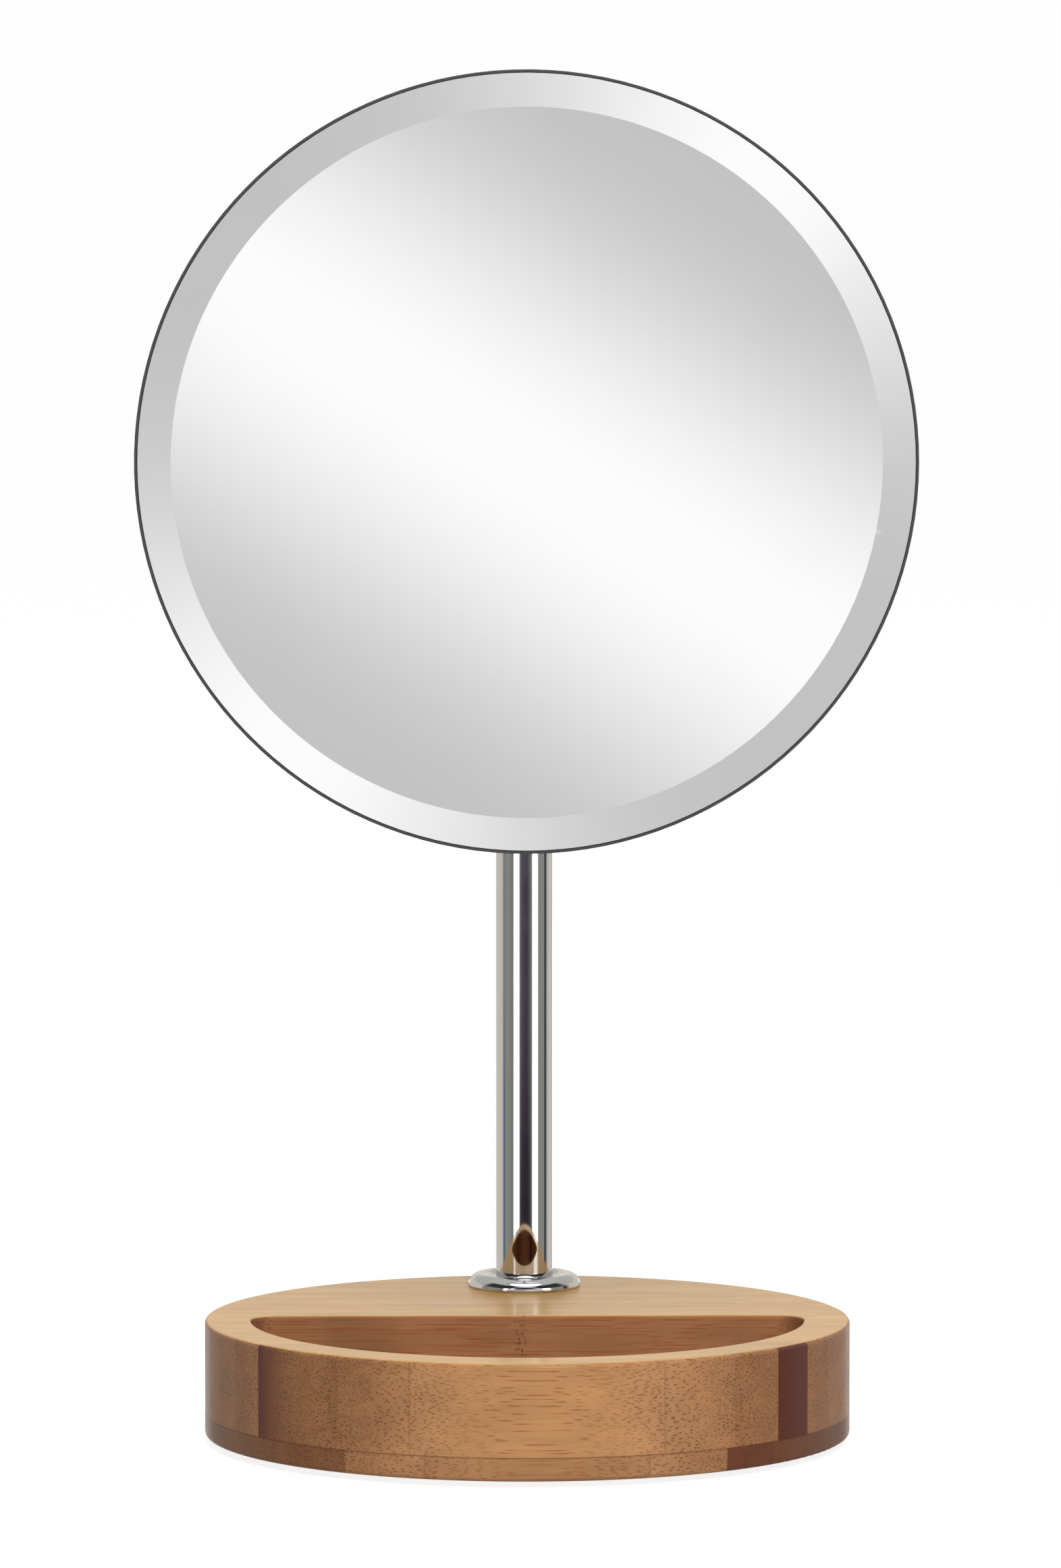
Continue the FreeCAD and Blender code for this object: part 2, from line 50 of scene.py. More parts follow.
# ---------------------------------------------------------------- node helpers
class Graph:
    """Short names for building one shader's node tree."""

    def __init__(self, tree):
        self.tree = tree
        tree.nodes.clear()

    def add(self, kind, **settings):
        node = self.tree.nodes.new(kind)
        for name, value in settings.items():
            setattr(node, name, value)
        return node

    def feed(self, socket, value):
        """Links an output to the socket, or sets the socket's own value."""
        if isinstance(value, bpy.types.NodeSocket):
            self.tree.links.new(value, socket)
        else:
            socket.default_value = value

    def math(self, operation, a, b=0.0, c=0.0):
        node = self.add("ShaderNodeMath", operation=operation)
        for socket, value in zip(node.inputs, (a, b, c)):
            self.feed(socket, value)
        return node.outputs[0]

    def smooth(self, value, start, end, low=0.0, high=1.0):
        node = self.add("ShaderNodeMapRange", interpolation_type="SMOOTHSTEP")
        for socket, setting in zip(node.inputs, (value, start, end, low, high)):
            self.feed(socket, setting)
        return node.outputs[0]

    def mix(self, factor, a, b, blend="MIX"):
        node = self.add("ShaderNodeMix", data_type="RGBA", blend_type=blend)
        self.feed(node.inputs[0], factor)
        self.feed(node.inputs[6], a if isinstance(a, bpy.types.NodeSocket) else (*a, 1.0))
        self.feed(node.inputs[7], b if isinstance(b, bpy.types.NodeSocket) else (*b, 1.0))
        return node.outputs[2]

    def ramp(self, value, stops, interpolation="LINEAR"):
        node = self.add("ShaderNodeValToRGB")
        band = node.color_ramp
        band.interpolation = interpolation
        while len(band.elements) < len(stops):
            band.elements.new(0.5)
        for element, (place, colour) in zip(band.elements, stops):
            element.position = place
            element.color = (*colour, 1.0)
        self.feed(node.inputs[0], value)
        return node.outputs[0]

    def position(self):
        """Point in the piece's own frame, in metres, as (vector, x, y, z)."""
        vector = self.add("ShaderNodeTexCoord").outputs["Object"]
        split = self.add("ShaderNodeSeparateXYZ")
        self.feed(split.inputs[0], vector)
        return vector, *split.outputs[:3]

    def point(self, x, y, z):
        node = self.add("ShaderNodeCombineXYZ")
        for socket, value in zip(node.inputs, (x, y, z)):
            self.feed(socket, value)
        return node.outputs[0]

    def stretched(self, values, factors):
        """A point whose coordinates are the values, each times its own factor."""
        return self.point(*(self.math("MULTIPLY", value, factor) for value, factor in zip(values, factors)))

    def hypot(self, a, b):
        return self.math("SQRT", self.math("ADD", self.math("MULTIPLY", a, a), self.math("MULTIPLY", b, b)))

    def gap(self, a, b):
        """How far apart two numbers are."""
        return self.math("ABSOLUTE", self.math("SUBTRACT", a, b))

    def noise(self, vector, scale, detail=2.0, roughness=0.5):
        node = self.add("ShaderNodeTexNoise")
        self.feed(node.inputs["Vector"], vector)
        self.feed(node.inputs["Scale"], scale)
        self.feed(node.inputs["Detail"], detail)
        self.feed(node.inputs["Roughness"], roughness)
        return node.outputs[0]

    def threads(self, y, z, spacing):
        """Threads that all run along X: distance to the nearest one, and that one's random value."""
        node = self.add("ShaderNodeTexVoronoi", voronoi_dimensions="2D")
        self.feed(node.inputs["Vector"], self.point(y, z, 0.0))
        self.feed(node.inputs["Scale"], 1.0 / spacing)
        split = self.add("ShaderNodeSeparateColor")
        self.feed(split.inputs[0], node.outputs["Color"])
        return self.math("MULTIPLY", node.outputs["Distance"], spacing), split.outputs[0]

    def chance(self, number):
        """A random value for each whole number."""
        node = self.add("ShaderNodeTexWhiteNoise", noise_dimensions="1D")
        self.feed(node.inputs["W"], number)
        return node.outputs["Value"]

    def scaled(self, colour, factor):
        """Colour times a factor that varies over the surface."""
        return self.mix(1.0, colour, self.point(factor, factor, factor), "MULTIPLY")

    def bump(self, height, distance, strength=1.0):
        node = self.add("ShaderNodeBump")
        self.feed(node.inputs["Height"], height)
        self.feed(node.inputs["Distance"], distance)
        self.feed(node.inputs["Strength"], strength)
        return node.outputs[0]


def material(name):
    """A new material with an empty tree, its shader and its graph."""
    made = bpy.data.materials.new(name)
    made.use_nodes = True
    graph = Graph(made.node_tree)
    shader = graph.add("ShaderNodeBsdfPrincipled")
    output = graph.add("ShaderNodeOutputMaterial")
    graph.feed(output.inputs[0], shader.outputs[0])
    return made, shader.inputs, graph


# ---------------------------------------------------------------- bamboo, in millimetres
MM = 1000.0

# Both boards are glued up from upright strips.  The strips run along X, turned by the slew.
GRAIN_SLEW = 0.02
STRIP_W = 8.77
BLOCK_FIRST_EDGE = -64.6
PLATE_FIRST_EDGE = -65.87
# how dark each strip's sides are, from the front strip to the back one
BLOCK_DARK = (0.0, 0.0, 0.08, 0.95, 0.22, 0.08, 0.0, 0.06, 0.0, 0.0, 0.12, 0.0, 0.3, 0.0, 0.0, 0.05)
PLATE_DARK = (0.20, 0.05, 0.80, 0.72, 0.74, 0.68, 0.70, 0.52, 0.1, 0.1, 0.3, 0.0, 0.2, 0.0, 0.4, 0.1)
# a dark strip is paler at the left end of the board, between these two places
FADE_FROM_X = 10.0
FADE_TO_X = -30.0
TOP_DARK_LOSS = 0.92

# bundles: spacing, radius, and which edge of the strip they keep to
THREADS = ((0.78, 0.120, 1.0), (0.56, 0.092, -1.0))
THREAD_SOFT_IN = 0.07
THREAD_SOFT_OUT = 0.08
SWAY = 1.5
OWN_SHIFT = 37.0

# waves per millimetre along the grain, across it and upwards
SWAY_WAVES = (0.045, 0.14, 0.14)
PATCH_WAVES = (0.05, 0.22, 0.16)
FINE_WAVES = (0.10, 2.6, 2.6)
FIBRE_WAVES = (0.035, 0.55, 0.55)
GRAIN_WAVES = 2.4
KNOT_WAVES = 1.5

# the growth rings' places step along the board from strip to strip
BOARD_L = 140.0
RING_STEP = 0.44
RING_START = 0.41

# how far from its middle a growth ring's band starts to fade and ends, and which dots of it show
RING_FADE = (0.5, 1.8)
KNOT_FADE = (0.54, 0.64)

# how strongly each mark and the lacquer show, on the sides and on the top face
BUNDLE_SHOWS = (0.74, 0.16)
RING_SHOWS = (0.75, 0.10)
COAT = (0.05, 0.42)
GLUE_SHOWS = 0.18
SEAM_SHOWS = 0.5
# how strongly the painted shade inside the tray shows
TRAY_SHADE_STRENGTH = 0.85

CLOUD_X = -36.0
CLOUD_DEPTH = 0.17
# the tray's outline, and the tint of the painted shade on its walls
TRAY_R = 60.9
TRAY_BACK_Y = 4.3
TRAY_EDGE = 0.3
TRAY_SHADE = (0.65, 0.57, 0.64)


def faces(g, z, top_z):
    """1 on the top face, 1 elsewhere, and 1 where the fibres are cut across."""
    facing = g.add("ShaderNodeSeparateXYZ")
    g.feed(facing.inputs[0], g.add("ShaderNodeNewGeometry").outputs["Normal"])
    if top_z is None:
        flat = g.smooth(facing.outputs[2], 0.6, 0.9)
    else:
        flat = g.smooth(z, top_z * MM - 0.30, top_z * MM - 0.03)
    side = g.math("SUBTRACT", 1.0, flat)
    end = g.math("MULTIPLY", side, g.smooth(g.math("ABSOLUTE", facing.outputs[0]), 0.12, 0.70))
    return flat, side, end


def fibre_bundles(g, thread_y, thread_z, part, patchy, end):
    """Bundles of fibres, coarse and sparse at one edge of a strip, fine and dense at the other."""
    dots = []
    for spacing, radius, lean in THREADS:
        distance, chance = g.threads(thread_y, thread_z, spacing)
        size = g.math("MULTIPLY_ADD", patchy, 0.12, radius - 0.06)
        size = g.math("MULTIPLY_ADD", chance, 0.05, size)
        size = g.math("MULTIPLY", size, g.smooth(end, 0.0, 0.5, 0.82, 1.0))
        inner = g.math("SUBTRACT", size, THREAD_SOFT_IN)
        outer = g.math("ADD", size, THREAD_SOFT_OUT)
        core = g.smooth(distance, inner, outer, 1.0, 0.0)
        place = g.math("MULTIPLY", g.math("SUBTRACT", part, 0.55), lean)
        share = g.smooth(place, -0.18, 0.18, 1.0, 0.0)
        dots.append(g.math("MULTIPLY", core, share))
    return g.math("MAXIMUM", *dots)


def growth_rings(g, millimetres, along, number, end):
    """One growth ring across each strip, as a band of dark dots that the cut ends don't show."""
    ring_x = g.math("FRACT", g.math("MULTIPLY_ADD", number, RING_STEP, RING_START))
    ring_x = g.math("MULTIPLY_ADD", ring_x, BOARD_L, -BOARD_L / 2)
    band = g.smooth(g.gap(along, ring_x), *RING_FADE, 1.0, 0.0)
    knots = g.noise(g.point(*millimetres), KNOT_WAVES, 1.0)
    ring = g.math("MULTIPLY", band, g.smooth(knots, *KNOT_FADE))
    return g.math("MULTIPLY", ring, g.math("SUBTRACT", 1.0, end))


def in_tray(g, x, y):
    """1 within the half-moon outline of the tray."""
    in_round = g.smooth(g.hypot(x, y), TRAY_R - TRAY_EDGE, TRAY_R, 1.0, 0.0)
    return g.math("MULTIPLY", in_round, g.smooth(y, TRAY_BACK_Y, TRAY_BACK_Y + TRAY_EDGE, 1.0, 0.0))


def strip_darkness(g, strip, darkness, fading, x, flat):
    """How dark a strip is: by its place in the board, paler at the left end and on the top face."""
    stops = [(i / len(darkness), (value,) * 3) for i, value in enumerate(darkness)]
    dark = g.ramp(g.math("DIVIDE", g.math("ADD", strip, 1.0), len(darkness)), stops, "CONSTANT")
    fade = g.smooth(x, FADE_FROM_X, FADE_TO_X)
    fade = g.math("MULTIPLY", fade, g.math("MULTIPLY_ADD", g.math("FRACT", strip), -fading, 1.0))
    dark = g.math("MULTIPLY", dark, g.math("MULTIPLY_ADD", fade, -0.40 * (1.0 + fading), 1.0))
    return g.math("MULTIPLY", dark, g.math("MULTIPLY_ADD", flat, -TOP_DARK_LOSS, 1.0))


def bamboo(name, top_z, first_edge, darkness, fading, seed):
    """Laminated bamboo.  Fibre bundles are threads along X: dots on cut ends, streaks on long faces."""
    made, shader, g = material(name)
    x, y, z = millimetres = [g.math("MULTIPLY", value, MM) for value in g.position()[1:]]
    along = g.math("MULTIPLY_ADD", y, GRAIN_SLEW, x)
    across = g.math("MULTIPLY_ADD", x, -GRAIN_SLEW, y)
    flat, side, end = faces(g, z, top_z)

    # which strip, how far across it, and its own random value
    strip = g.math("DIVIDE", g.math("SUBTRACT", across, first_edge), STRIP_W)
    number = g.math("FLOOR", strip)
    part = g.math("FRACT", strip)
    own = g.chance(g.math("ADD", number, seed))

    # threads that sway, and shift from strip to strip
    sway = g.noise(g.stretched((along, across, z), SWAY_WAVES), 1.0)
    sway = g.math("MULTIPLY_ADD", sway, SWAY, g.math("MULTIPLY", own, OWN_SHIFT))
    thread_y = g.math("ADD", across, sway)
    thread_z = g.math("ADD", z, g.math("MULTIPLY", sway, 0.7))
    patchy = g.noise(g.stretched((along, across, z), PATCH_WAVES), 1.0, 3.0)
    bundle = fibre_bundles(g, thread_y, thread_z, part, patchy, end)

    # how light the wood is: grain on the ends, fine and broad fibres, patches, the strip's own tone, a cloud
    fine = g.noise(g.stretched((along, thread_y, thread_z), FINE_WAVES), 1.0, 3.0, 0.65)
    fibre = g.noise(g.stretched((along, thread_y, thread_z), FIBRE_WAVES), 1.0, 2.0)
    grain = g.noise(g.point(x, y, z), GRAIN_WAVES, 2.0, 0.7)
    lift = g.math("MULTIPLY_ADD", g.math("MULTIPLY", g.math("SUBTRACT", grain, 0.5), end), 0.55, 1.0)
    for value, weight in ((fine, 0.40), (fibre, 0.30), (patchy, -0.40), (own, 0.13)):
        lift = g.math("MULTIPLY_ADD", g.math("SUBTRACT", value, 0.5), weight, lift)
    cloud = g.smooth(g.gap(x, CLOUD_X), 3.0, 12.0, 1.0, 0.0)
    cloud = g.math("MULTIPLY", cloud, g.math("MULTIPLY", side, g.smooth(z, 4.0, 14.0)))
    lift = g.math("MULTIPLY_ADD", cloud, -CLOUD_DEPTH, lift)

    # the wood's own colour, with painted shade on top round the post standing for the post's and mirror's
    # shadow and reflection, and the dark strips
    from_post = g.hypot(x, g.math("SUBTRACT", y, POST_Y * MM))
    # painted shade: the top face is darkened near the post, where the post and mirror shade it
    top = g.scaled(TOP_TAN, g.smooth(from_post, 10.0, 60.0, 0.84, 1.0))
    base = g.mix(flat, g.mix(end, SIDE_TAN, END_TAN), top)
    base = g.scaled(base, lift)
    base = g.mix(strip_darkness(g, strip, darkness, fading, x, flat), base, STRIP_DARK)

    # painted shade: inside the milled-out tray the wood is painted darker, for the shade that falls in the
    # recess
    tray_shade_mask = in_tray(g, x, y)
    if top_z is not None:
        tray_shade_mask = g.math("MULTIPLY", tray_shade_mask, side)
    base = g.mix(g.math("MULTIPLY", tray_shade_mask, TRAY_SHADE_STRENGTH), base, g.mix(1.0, base, TRAY_SHADE, "MULTIPLY"))

    # bundles, growth rings, glue lines and the seam between the boards
    strength = g.math("MULTIPLY", bundle, g.smooth(flat, 0.0, 1.0, *BUNDLE_SHOWS))
    base = g.mix(strength, base, g.mix(end, STREAK_RED, BUNDLE_BROWN))
    ring = growth_rings(g, millimetres, along, number, end)
    base = g.mix(g.math("MULTIPLY", ring, g.smooth(flat, 0.0, 1.0, *RING_SHOWS)), base, BUNDLE_BROWN)
    glue = g.smooth(g.math("PINGPONG", strip, 0.5), 0.0, 0.022, 1.0, 0.0)
    base = g.mix(g.math("MULTIPLY", glue, GLUE_SHOWS), base, STRIP_DARK)
    seam = g.smooth(g.gap(z, SEAM_Z * MM), 0.05, 0.25, 1.0, 0.0)
    base = g.mix(g.math("MULTIPLY", seam, SEAM_SHOWS), base, STRIP_DARK)

    # satin lacquer, thicker on the top face
    g.feed(shader["Base Color"], base)
    g.feed(shader["Roughness"], g.math("MULTIPLY_ADD", fine, 0.14, 0.36))
    shader["Specular IOR Level"].default_value = 0.18
    g.feed(shader["Coat Weight"], g.smooth(flat, 0.0, 1.0, *COAT))
    shader["Coat Roughness"].default_value = 0.20
    relief = g.math("MULTIPLY_ADD", fine, 0.5, g.math("MULTIPLY", bundle, -0.5))
    g.feed(shader["Normal"], g.bump(relief, 0.00006, 0.5))
    return made


# ---------------------------------------------------------------- metals, glass, plastics
def chrome():
    """Plated steel with a barely uneven polish."""
    made, shader, g = material("chrome")
    vector, *_ = g.position()
    cloud = g.noise(vector, 90.0, 3.0)
    g.feed(shader["Base Color"], g.mix(cloud, (0.585, 0.59, 0.59), (0.625, 0.62, 0.615)))
    shader["Metallic"].default_value = 1.0
    g.feed(shader["Roughness"], g.smooth(cloud, 0.3, 0.8, 0.025, 0.06))
    g.feed(shader["Normal"], g.bump(g.noise(vector, 60.0, 1.0), 0.00002, 0.35))
    return made


VEIL_R = 0.085


def mirror_silver():
    """Silvered glass, with a faint film of dust that softens it towards the rim."""
    made, shader, g = material("mirror_silver")
    _, x, y, z = g.position()
    out = g.hypot(g.math("SUBTRACT", x, HEAD_CENTRE.x), g.math("SUBTRACT", z, HEAD_CENTRE.z))
    film = g.noise(g.point(x, y, z), 35.0, 4.0)
    veil = g.math("MULTIPLY", g.smooth(out, 0.0, VEIL_R), g.smooth(film, 0.45, 0.8))
    g.feed(shader["Base Color"], g.mix(veil, (0.98, 0.975, 0.978), (0.96, 0.955, 0.958)))
    shader["Metallic"].default_value = 1.0
    g.feed(shader["Roughness"], g.math("MULTIPLY_ADD", veil, 0.006, 0.004))
    return made


def brushed(name, dark, light, waves, rough):
    """Brushed or turned steel: fine scratches, with the waves per metre along X, Y and Z."""
    made, shader, g = material(name)
    scratch = g.noise(g.stretched(g.position()[1:], waves), 1.0, 3.0, 0.7)
    g.feed(shader["Base Color"], g.mix(scratch, dark, light))
    shader["Metallic"].default_value = 1.0
    g.feed(shader["Roughness"], g.math("MULTIPLY_ADD", scratch, 0.18, rough))
    g.feed(shader["Normal"], g.bump(scratch, 0.00002, 0.4))
    return made


def moulded(name, colour, rough, grain):
    """Moulded plastic or rubber with a fine grained skin."""
    made, shader, g = material(name)
    vector, *_ = g.position()
    skin = g.noise(vector, grain, 3.0)
    darker = tuple(0.8 * c for c in colour)
    g.feed(shader["Base Color"], g.mix(skin, darker, colour))
    g.feed(shader["Roughness"], g.math("MULTIPLY_ADD", skin, 0.2, rough))
    g.feed(shader["Normal"], g.bump(skin, 0.00005, 0.4))
    return made


def dress_nodes():
    """Gives every CAD node its finish."""
    block = bamboo("bamboo_block", WOOD_TOP, BLOCK_FIRST_EDGE, BLOCK_DARK, 1.0, 3.0)
    plate = bamboo("bamboo_plate", None, PLATE_FIRST_EDGE, PLATE_DARK, 0.0, 31.0)
    zinc = brushed("zinc_steel", (0.50, 0.51, 0.52), (0.66, 0.67, 0.68), (900, 900, 900), 0.28)
    cover = brushed("cover_steel", (0.56, 0.57, 0.58), (0.68, 0.69, 0.70), (40, 40, 2600), 0.30)
    socket = brushed("socket_steel", (0.52, 0.53, 0.54), (0.66, 0.67, 0.68), (700, 700, 700), 0.26)
    screws = [name for name in nodes if name.startswith("socket_screw")]
    feet = [name for name in nodes if name.startswith("foot_") and name != "foot_insert"]
    finishes = {
        block: ["base_block"],
        plate: ["base_plate"],
        chrome(): ["post_tube", "post_collar", "post_cap", "ball_stud", "saddle_washer", "cap_ring"],
        mirror_silver(): ["mirror_glass"],
        cover: ["back_cover"],
        socket: ["socket_body"],
        zinc: ["base_bolt", "flat_washer", "spring_washer", "foot_insert", "stud_anchor", "disc_spring",
               "stiffener_plate"] + screws,
        moulded("nylon", (0.72, 0.70, 0.64), 0.45, 700.0): ["friction_cup", "pressure_pad", "rear_seat"],
        moulded("edge_band", (0.055, 0.055, 0.058), 0.5, 900.0): ["edge_gasket"],
        moulded("foam_tape", (0.62, 0.62, 0.60), 0.8, 1600.0): ["adhesive_ring"],
        moulded("foot_rubber", (0.035, 0.035, 0.036), 0.75, 1200.0): feet,
    }
    for finish, names in finishes.items():
        for name in names:
            slots = nodes[name].data.materials
            slots.clear()
            slots.append(finish)


# ---------------------------------------------------------------- camera
CAMERA_DISTANCE = 2.0
CAMERA_AZIMUTH = -0.76
CAMERA_ELEVATION = 4.66
CAMERA_LENS = 212.3
CAMERA_SENSOR = 36.0
AIM = Vector((0.0007, 0.0, WOOD_BOTTOM + 0.1414))


def camera_place():
    turn, rise = math.radians(CAMERA_AZIMUTH), math.radians(CAMERA_ELEVATION)
    back = Vector((math.sin(turn) * math.cos(rise), -math.cos(turn) * math.cos(rise), math.sin(rise)))
    return AIM + back * CAMERA_DISTANCE


def make_camera():
    data = bpy.data.cameras.new("camera")
    data.lens = CAMERA_LENS
    data.sensor_width = CAMERA_SENSOR
    data.sensor_fit = "AUTO"
    data.clip_end = 50.0
    camera = bpy.data.objects.new("camera", data)
    camera.location = camera_place()
    camera.rotation_euler = (AIM - camera.location).to_track_quat("-Z", "Y").to_euler()
    bpy.context.scene.collection.objects.link(camera)
    bpy.context.scene.camera = camera


# ---------------------------------------------------------------- studio
STUDIO_R = 9.0
STUDIO_TOP = 6.0
COVE_R = 1.5
COVE_STEPS = 12
ROUND_STEPS = 96


def studio_bowl():
    """Round pale floor that curves up into a wall all round."""
    profile = [(0.0, 0.0), (STUDIO_R - COVE_R, 0.0)]
    for i in range(1, COVE_STEPS + 1):
        turn = math.pi / 2 * i / COVE_STEPS
        profile.append((STUDIO_R - COVE_R + COVE_R * math.sin(turn), COVE_R * (1 - math.cos(turn))))
    profile.append((STUDIO_R, STUDIO_TOP))
    per = len(profile)
    verts, faces = [], []
    for i in range(ROUND_STEPS):
        turn = 2 * math.pi * i / ROUND_STEPS
        verts += [(r * math.cos(turn), r * math.sin(turn), z) for r, z in profile]
    for i in range(ROUND_STEPS):
        for k in range(per - 1):
            a, b = i * per + k, (i + 1) % ROUND_STEPS * per + k
            faces.append((a, b, b + 1, a + 1))
    mesh = bpy.data.meshes.new("studio_bowl")
    mesh.from_pydata(verts, [], faces)
    mesh.polygons.foreach_set("use_smooth", [True] * len(mesh.polygons))
    bowl = bpy.data.objects.new("studio_bowl", mesh)
    bpy.context.scene.collection.objects.link(bowl)
    made, shader, _ = material("studio_paper")
    shader["Base Color"].default_value = (0.30, 0.30, 0.30, 1.0)
    shader["Roughness"].default_value = 0.9
    shader["Specular IOR Level"].default_value = 0.0
    shader["Emission Color"].default_value = (1.0, 1.0, 1.0, 1.0)
    shader["Emission Strength"].default_value = 0.86
    mesh.materials.append(made)
    bowl.visible_glossy = False
    bowl.visible_diffuse = False


# What the post shows of the studio, by compass angle from the front, positive to the right.
# Each stop is (angle in degrees, colour as it looks on chrome).
WARM = (0.50, 0.465, 0.43)
GREY = (0.215, 0.22, 0.20)
PALE = (0.40, 0.40, 0.39)
BLACK = (0.050, 0.038, 0.056)
INK = (0.040, 0.036, 0.043)
WHITE = (2.2, 2.2, 2.17)
ON_CHROME = (
    (-180, WARM), (-101, WARM), (-95, (0.20, 0.22, 0.24)), (-90, (0.05, 0.09, 0.17)),
    (-86.5, (0.13, 0.16, 0.18)), (-79, (0.225, 0.235, 0.215)), (-58, (0.20, 0.19, 0.17)),
    (-48, (0.165, 0.16, 0.14)), (-45, PALE), (-43, WHITE), (-23.5, WHITE), (-20.5, (0.36, 0.35, 0.36)),
    (-17, (0.11, 0.09, 0.11)), (-8, (0.070, 0.055, 0.075)), (2, BLACK), (12, BLACK),
    (20, (0.095, 0.09, 0.09)), (29, (0.16, 0.165, 0.15)), (31.5, PALE), (34, WHITE), (51.5, WHITE),
    (56.5, PALE), (61, GREY), (86, (0.215, 0.22, 0.195)), (89.5, INK), (95, INK),
    (100, (0.17, 0.16, 0.15)), (107, (0.45, 0.43, 0.40)), (114, WARM), (180, WARM),
)
CHROME_GAIN = 1 / 0.61
BLUE_FLAT_DEG = -90.5
BLUE_FLAT_GREY = (0.33, 0.34, 0.32)
MIDDLE_FLAT_DEG = 4.0

# behind the object
DOORWAY = (0.10, 0.10, 0.105)
STRIP_LIGHT = (2.2, 2.2, 2.15)
BACK_WALL = (0.24, 0.24, 0.23)

# overhead
CEILING_FRONT = (0.045, 0.05, 0.045)
CEILING_SIDE = (0.64, 0.62, 0.59)
CEILING_TOP = (0.68, 0.69, 0.67)
BOX_LIGHT = (2.6, 2.6, 2.55)
BOX_TOWARD = Vector((0.03, -0.42, 0.90))
BOX_INNER_DEG = 22.0
BOX_OUTER_DEG = 25.0
FLOOR_PALE = (0.80, 0.79, 0.78)

# Straight ahead, as slopes from the glass's centre: where its reflection of the camera points, how far its
# own reflections spread, the band's tilt, and the ring that the bevel looks at.
seen_from = camera_place()
depth = glass_low.y - seen_from.y
AHEAD_X = (HEAD_CENTRE.x - seen_from.x) / depth
AHEAD_Z = (HEAD_CENTRE.z - seen_from.z) / depth
FLAT_SHARE = 0.91
DISC_SPREAD = HEAD_R * FLAT_SHARE / depth
BAND_ACROSS_DEG = 58.0
RING_BRIGHT_DEG = 51.0
RING_IN = 0.72
RING_OUT = 0.81
GLOW_DIM = 0.56
RING_DIM = 0.555
GLOW_RISE = 0.445

# the level band that only the upright post looks at, and where the bevel's ring crosses it
LEVEL_TOP = (-4.72, -4.82)
LEVEL_FOOT = (-9.6, -8.8)
RING_LEVEL_MIDDLE = 0.75
RING_LEVEL_ASIDE = 37.4
FILL = 0.5


def flats_around(g, compass, height):
    """The flats and strip lights that stand round the object."""
    stops = [((angle + 180) / 360, colour) for angle, colour in ON_CHROME]
    around = g.ramp(g.math("DIVIDE", g.math("ADD", compass, 180.0), 360.0), stops)
    around = g.mix(1.0, around, (CHROME_GAIN,) * 3, "MULTIPLY")

    # the flat in the middle is darker at its foot, and the blue one is only blue there
    middle = g.smooth(g.gap(compass, MIDDLE_FLAT_DEG), 20.0, 24.0, 1.0, 0.0)
    foot = g.math("MULTIPLY", middle, g.smooth(height, -6.1, -7.3))
    around = g.scaled(around, g.math("MULTIPLY_ADD", foot, -0.62, 1.0))
    blue = g.smooth(g.gap(compass, BLUE_FLAT_DEG), 2.5, 6.0, 1.0, 0.0)
    around = g.mix(g.math("MULTIPLY", blue, g.smooth(height, -6.8, -5.8)), around, BLUE_FLAT_GREY)

    # behind the object, a dark doorway between two strip lights
    aside = g.math("ABSOLUTE", compass)
    back = g.mix(g.smooth(aside, 158.0, 160.0), BACK_WALL, STRIP_LIGHT)
    back = g.mix(g.smooth(aside, 169.0, 171.0), back, DOORWAY)
    behind = g.math("MULTIPLY", g.smooth(aside, 149.0, 153.0), g.smooth(height, 0.0, -2.0))
    return g.mix(behind, around, back)


def ceiling_over(g, direction, compass, height):
    """A ceiling, dark at its front edge, with one bright softbox hung high in front."""
    ceiling = g.mix(g.smooth(g.math("ABSOLUTE", compass), 84.0, 104.0), CEILING_FRONT, CEILING_SIDE)
    ceiling = g.mix(g.smooth(height, 44.0, 54.0), ceiling, CEILING_TOP)
    boxed = g.add("ShaderNodeVectorMath", operation="DOT_PRODUCT")
    g.feed(boxed.inputs[0], direction)
    boxed.inputs[1].default_value = BOX_TOWARD.normalized()
    box_outer = math.cos(math.radians(BOX_OUTER_DEG))
    box_inner = math.cos(math.radians(BOX_INNER_DEG))
    return g.mix(g.smooth(boxed.outputs["Value"], box_outer, box_inner), ceiling, BOX_LIGHT)


def glow_ahead(g, across, up, out):
    """A soft white diagonal band for the flat glass, and round it the band's two ends for the bevel."""
    band = math.radians(BAND_ACROSS_DEG)
    q = g.math("ADD", g.math("MULTIPLY", across, math.cos(band)), g.math("MULTIPLY", up, math.sin(band)))
    q = g.math("MINIMUM", g.math("ABSOLUTE", g.math("DIVIDE", q, DISC_SPREAD)), 1.0)
    wave = g.math("MULTIPLY_ADD", g.math("COSINE", g.math("MULTIPLY", q, math.pi)), 0.5, 0.5)
    tone = g.math("MULTIPLY_ADD", g.math("POWER", wave, 1.12), GLOW_RISE, GLOW_DIM)
    turn = g.math("SUBTRACT", g.math("ARCTAN2", up, across), math.radians(RING_BRIGHT_DEG))
    lobes = g.math("POWER", g.math("ABSOLUTE", g.math("COSINE", turn)), 4.0)
    ring_tone = g.math("MULTIPLY_ADD", lobes, GLOW_RISE, RING_DIM)
    glow = g.smooth(out, 0.12, 0.30, tone, ring_tone)
    return g.point(glow, glow, glow)


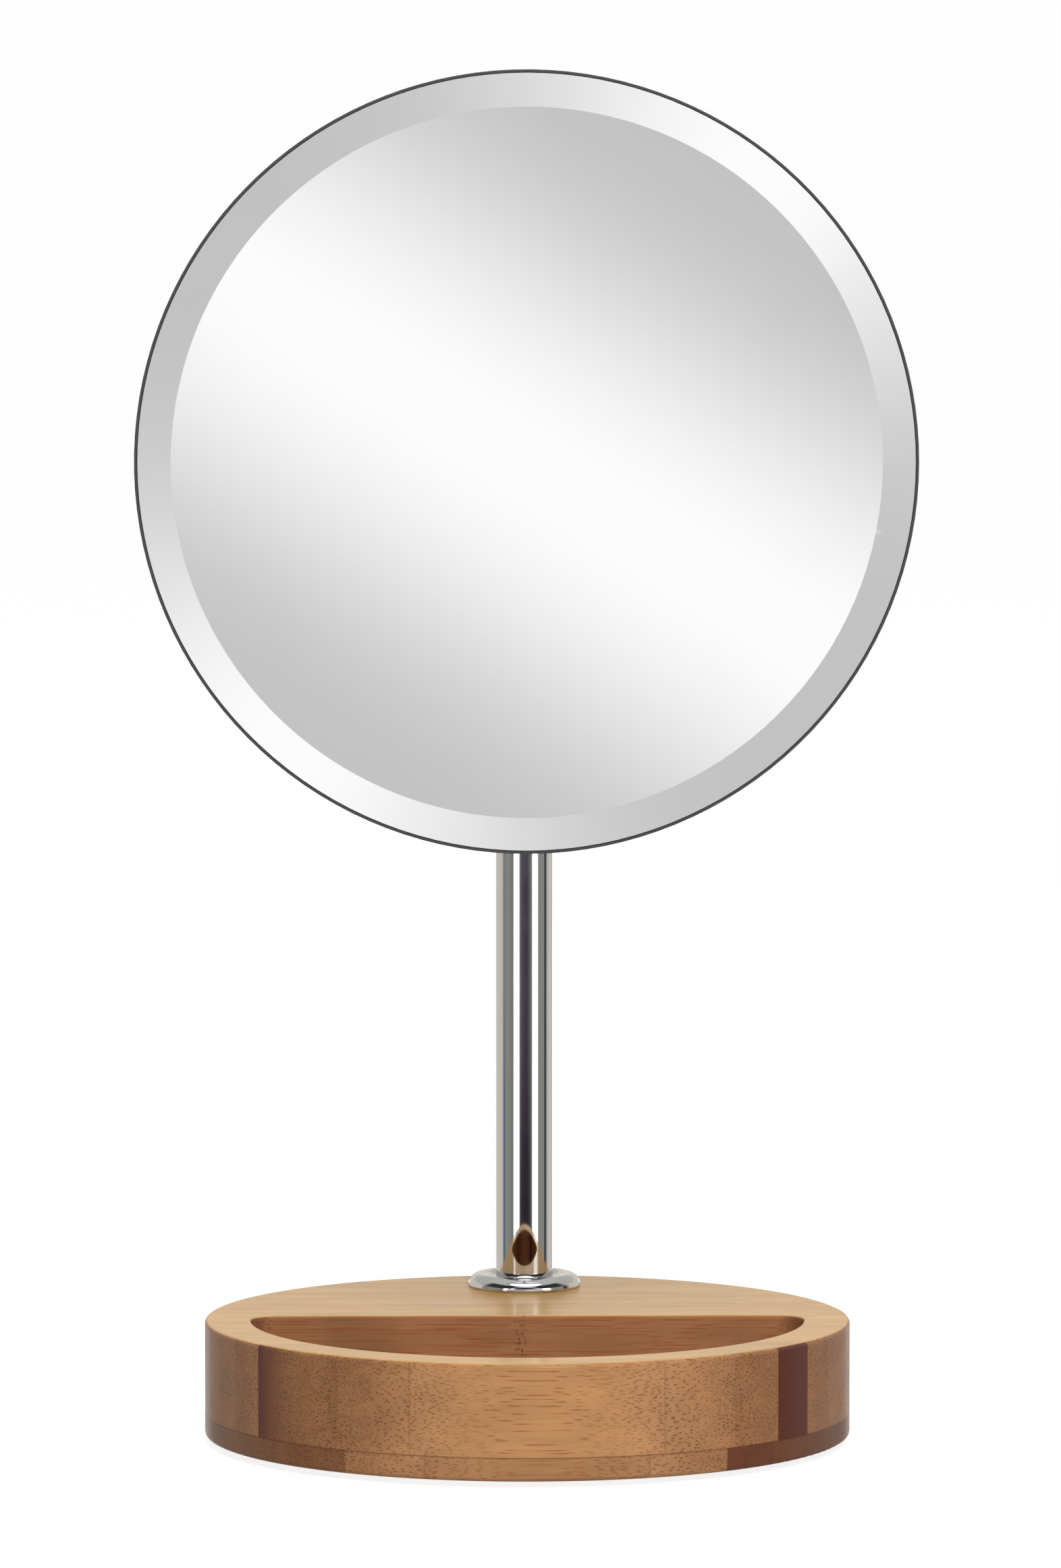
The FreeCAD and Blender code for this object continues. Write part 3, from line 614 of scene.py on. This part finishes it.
def glow_share(g, compass, height, toward, out):
    """1 where the glow is seen: ahead and below the ceiling, and all through the bevel's ring."""
    within = g.smooth(out, RING_IN - 0.02, RING_IN)
    at_ring = g.math("MULTIPLY", within, g.smooth(out, RING_OUT, RING_OUT + 0.03, 1.0, 0.0))
    near_level = g.smooth(height, 14.0, 19.0, 1.0, 0.0)
    near_level = g.math("MULTIPLY", near_level, g.math("SUBTRACT", 1.0, within))
    share = g.math("MAXIMUM", at_ring, near_level)

    # not in the level band, apart from two narrow places where the bevel's ring goes on across it
    level = g.math("MULTIPLY", g.smooth(height, *LEVEL_TOP), g.smooth(height, *LEVEL_FOOT))
    level = g.math("MULTIPLY", level, g.smooth(out, DISC_SPREAD * 1.015, DISC_SPREAD * 1.035))
    from_ring = g.gap(g.gap(compass, RING_LEVEL_MIDDLE), RING_LEVEL_ASIDE)
    level = g.math("MULTIPLY", level, g.smooth(from_ring, 0.35, 0.55))
    share = g.math("MULTIPLY", share, g.math("SUBTRACT", 1.0, level))
    return g.math("MULTIPLY", share, g.smooth(toward, 0.05, 0.25))


def studio_light():
    """World that stands for the studio's flats and softboxes, as the mirror and the chrome reflect them."""
    world = bpy.data.worlds.new("studio")
    bpy.context.scene.world = world
    world.use_nodes = True
    g = Graph(world.node_tree)
    direction = g.add("ShaderNodeTexCoord").outputs["Generated"]
    split = g.add("ShaderNodeSeparateXYZ")
    g.feed(split.inputs[0], direction)
    x, y, z = split.outputs[:3]
    toward = g.math("MULTIPLY", y, -1.0)
    compass = g.math("DEGREES", g.math("ARCTAN2", x, toward))
    height = g.math("DEGREES", g.math("ARCSINE", z))
    around = flats_around(g, compass, height)
    around = g.mix(g.smooth(height, 18.0, 22.0), around, ceiling_over(g, direction, compass, height))

    front = g.math("MAXIMUM", toward, 0.02)
    across = g.math("SUBTRACT", g.math("DIVIDE", x, front), AHEAD_X)
    up = g.math("SUBTRACT", g.math("DIVIDE", z, front), AHEAD_Z)
    out = g.hypot(across, up)
    ahead = glow_share(g, compass, height, toward, out)
    colour = g.mix(ahead, around, glow_ahead(g, across, up, out))
    below = g.math("MULTIPLY", g.smooth(height, -30.0, -48.0), g.math("SUBTRACT", 1.0, ahead))
    colour = g.mix(below, colour, FLOOR_PALE)

    # diffuse surfaces get only a share of this light, because the area lights do the rest
    shader = g.add("ShaderNodeBackground")
    g.feed(shader.inputs[0], colour)
    diffuse = g.add("ShaderNodeLightPath").outputs["Is Diffuse Ray"]
    g.feed(shader.inputs[1], g.math("MULTIPLY_ADD", diffuse, FILL - 1.0, 1.0))
    output = g.add("ShaderNodeOutputWorld")
    g.feed(output.inputs[0], shader.outputs[0])


def softbox(name, place, aim, size, power):
    """A square area light that lights the object but isn't seen in its reflections."""
    data = bpy.data.lights.new(name, "AREA")
    data.shape = "RECTANGLE"
    data.size, data.size_y = size
    data.energy = power
    lamp = bpy.data.objects.new(name, data)
    lamp.location = place
    lamp.rotation_euler = (Vector(aim) - Vector(place)).to_track_quat("-Z", "Y").to_euler()
    lamp.visible_camera = False
    lamp.visible_glossy = False
    bpy.context.scene.collection.objects.link(lamp)


# ---------------------------------------------------------------- make it
dress_nodes()
studio_bowl()
studio_light()
softbox("key", (0.24, -1.37, 0.95), (0, 0, 0.05), (0.9, 0.9), 20.0)
softbox("top", (0.0, -0.1, 1.6), (0, 0, 0.0), (1.2, 1.2), 6.0)
make_camera()
bpy.context.scene.view_settings.view_transform = "Standard"
